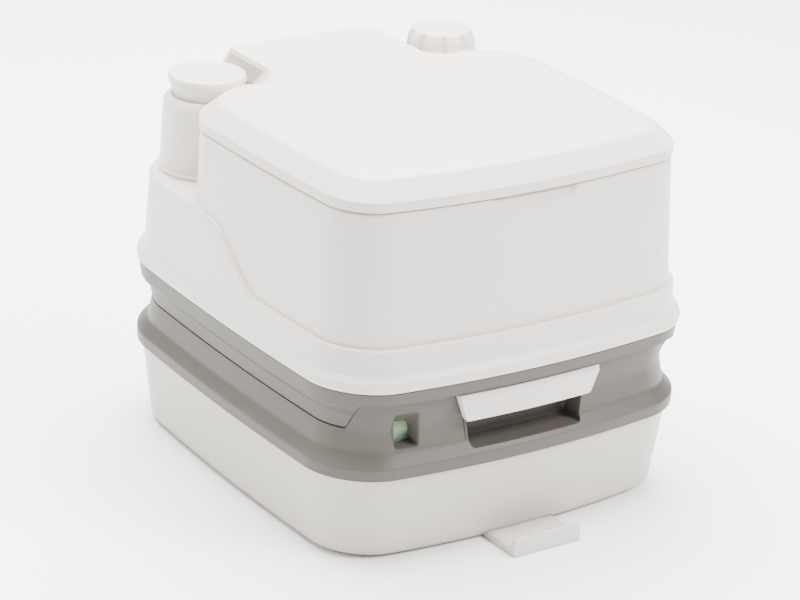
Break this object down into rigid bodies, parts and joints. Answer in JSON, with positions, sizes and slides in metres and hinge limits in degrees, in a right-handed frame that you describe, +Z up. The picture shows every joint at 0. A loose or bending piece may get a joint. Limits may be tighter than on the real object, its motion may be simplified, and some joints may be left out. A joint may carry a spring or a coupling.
{
  "type": "portable flush toilet",
  "caption": "Two-part portable flush toilet: a flush-water unit with seat, lid, piston pump and filler, standing on a waste tank with slide valve, level gauge and pour-out spout.",
  "frame": {"origin": "on the floor, centre of the overall footprint", "axes": "+Z up, front of the toilet faces -Y, +X is to the right of someone facing its front"},
  "size_m": [0.3432, 0.433, 0.305],
  "materials": {
    "white_polyethylene": "moulded white plastic, satin gloss",
    "grey_polyethylene": "moulded warm-grey plastic, satin",
    "dark_grey_plastic": "moulded dark-grey plastic",
    "green_plastic": "moulded green plastic",
    "clear_acrylic": "clear moulded window",
    "black_rubber": "moulded rubber",
    "stainless_steel": "drawn stainless rod"
  },
  "bodies": {
    "waste_tank": {"tank_tub": "white_polyethylene", "tank_top": "grey_polyethylene", "valve_body": "dark_grey_plastic", "valve_lip_seal": "black_rubber", "level_window": "clear_acrylic", "bracket_front": "white_polyethylene", "bracket_rear": "white_polyethylene"},
    "slide_valve": {"valve_blade": "grey_polyethylene", "valve_handle": "white_polyethylene"},
    "gauge": {"level_drum": "green_plastic", "level_axle": "grey_polyethylene", "float_arm": "grey_polyethylene", "level_float": "white_polyethylene"},
    "spout": {"spout_pipe": "grey_polyethylene", "spout_gasket": "black_rubber"},
    "spout_stopper": {"spout_cap": "dark_grey_plastic"},
    "vent": {"vent_button": "green_plastic", "vent_gasket": "black_rubber"},
    "flush_unit": {"base_tray": "grey_polyethylene", "flush_housing": "white_polyethylene", "bowl": "white_polyethylene", "bowl_gasket": "black_rubber", "pump_housing": "white_polyethylene", "pump_cylinder": "white_polyethylene", "foot_valve": "grey_polyethylene", "delivery_hose": "grey_polyethylene", "flush_nozzle": "dark_grey_plastic", "filler_gasket": "black_rubber", "latch_pin": "stainless_steel", "hinge_pin_left": "stainless_steel", "hinge_pin_right": "stainless_steel"},
    "latch": {"latch_lever": "grey_polyethylene"},
    "pump": {"pump_knob": "white_polyethylene", "piston_rod": "stainless_steel", "piston": "grey_polyethylene", "piston_seal": "black_rubber"},
    "filler": {"filler_cap": "white_polyethylene"},
    "seat": {"seat_ring": "white_polyethylene", "seat_bumper_front_left": "black_rubber", "seat_bumper_front_right": "black_rubber", "seat_bumper_rear_left": "black_rubber", "seat_bumper_rear_right": "black_rubber"},
    "lid": {"lid_shell": "white_polyethylene", "lid_buffer_left": "black_rubber", "lid_buffer_right": "black_rubber"}
  },
  "joints": [
    {"name": "unit_lift", "type": "slide", "parent": "waste_tank", "child": "flush_unit", "axis": [0, 0, 1], "range_m": [0, 0.15]},
    {"name": "seat_hinge", "type": "hinge", "parent": "flush_unit", "child": "seat", "pos_m": [0, 0.154, 0.281], "axis": [-1, 0, 0], "range_deg": [0, 95]},
    {"name": "lid_hinge", "type": "hinge", "parent": "seat", "child": "lid", "pos_m": [0, 0.154, 0.281], "axis": [-1, 0, 0], "range_deg": [0, 90]},
    {"name": "pump_pull", "type": "slide", "parent": "flush_unit", "child": "pump", "axis": [0, 0, 1], "range_m": [0, 0.05]},
    {"name": "filler_turn", "type": "hinge", "parent": "flush_unit", "child": "filler", "pos_m": [0.111, 0.1195, 0.276], "axis": [0, 0, 1], "range_deg": [0, 90]},
    {"name": "latch_swing", "type": "hinge", "parent": "flush_unit", "child": "latch", "pos_m": [0.092, 0.18488, 0.118], "axis": [-1, 0, 0], "range_deg": [0, 8]},
    {"name": "valve_slide", "type": "slide", "parent": "waste_tank", "child": "slide_valve", "axis": [0, -1, 0], "range_m": [0, 0.095]},
    {"name": "gauge_turn", "type": "hinge", "parent": "waste_tank", "child": "gauge", "pos_m": [-0.107, -0.15006, 0.1], "axis": [1, 0, 0], "range_deg": [0, 36]},
    {"name": "spout_swivel", "type": "hinge", "parent": "waste_tank", "child": "spout", "pos_m": [-0.084, 0.1685, 0.0803], "axis": [0, 0, 1], "range_deg": [0, 90]},
    {"name": "spout_cap_turn", "type": "hinge", "parent": "spout", "child": "spout_stopper", "pos_m": [0.05, 0.1685, 0.0803], "axis": [1, 0, 0], "range_deg": [0, 90]},
    {"name": "vent_press", "type": "slide", "parent": "waste_tank", "child": "vent", "axis": [0, 0, -1], "range_m": [0, 0.004], "stiffness_N_per_m": 300}
  ]
}
